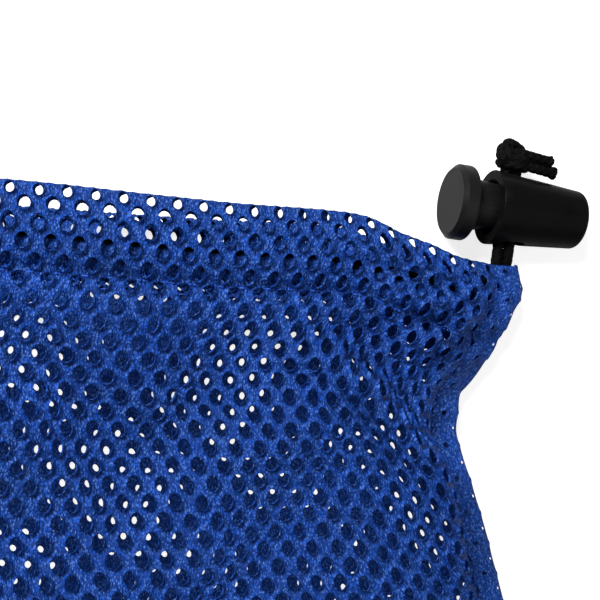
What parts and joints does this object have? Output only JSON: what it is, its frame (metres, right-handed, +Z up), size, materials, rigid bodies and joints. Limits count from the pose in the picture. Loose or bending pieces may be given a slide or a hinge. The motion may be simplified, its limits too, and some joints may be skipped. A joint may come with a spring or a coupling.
{
  "type": "mesh laundry bag",
  "caption": "Drawstring mesh laundry bag lying open on its back panel, with a braided cord through its hem and a spring cord lock on the cord's two ends.",
  "frame": {"origin": "middle of the back panel's underside, on the surface that the bag lies on", "axes": "+Z up, +X along the bag towards its mouth, +Y across it, away from the corner with the cord lock"},
  "size_m": [0.6299, 0.4648, 0.056],
  "materials": {
    "mesh_fabric": "knitted polyester athletic mesh, royal blue",
    "hem_fabric": "the same mesh, doubled",
    "sewing_thread": "spun polyester thread, royal blue",
    "cord_braid": "braided polyester, black",
    "barrel_plastic": "satin moulded, black",
    "plunger_plastic": "satin moulded, black",
    "spring_steel": "drawn wire"
  },
  "bodies": {
    "bag": {"front_panel": "mesh_fabric", "back_panel": "mesh_fabric", "front_hem_casing": "hem_fabric", "back_hem_casing": "hem_fabric", "left_side_seam": "hem_fabric", "right_side_seam": "hem_fabric", "bottom_seam": "hem_fabric", "front_hem_stitching": "sewing_thread", "back_hem_stitching": "sewing_thread", "left_overlock_thread": "sewing_thread", "right_overlock_thread": "sewing_thread", "bottom_overlock_thread": "sewing_thread", "drawcord": "cord_braid", "cord_knot": "cord_braid", "cord_ends": "cord_braid"},
    "lock": {"lock_barrel": "barrel_plastic", "lock_spring": "spring_steel"},
    "plunger": {"lock_plunger": "plunger_plastic"}
  },
  "joints": [
    {"name": "lock_slide", "type": "slide", "parent": "bag", "child": "lock", "axis": [-0.9962, 0.0872, 0], "range_m": [0, 0.0028]},
    {"name": "plunger_press", "type": "slide", "parent": "lock", "child": "plunger", "axis": [-0.0868, -0.9926, -0.0847], "range_m": [0, 0.0045], "stiffness_N_per_m": 1000, "springref_m": -0.0025, "deforming": ["lock_spring"]}
  ]
}
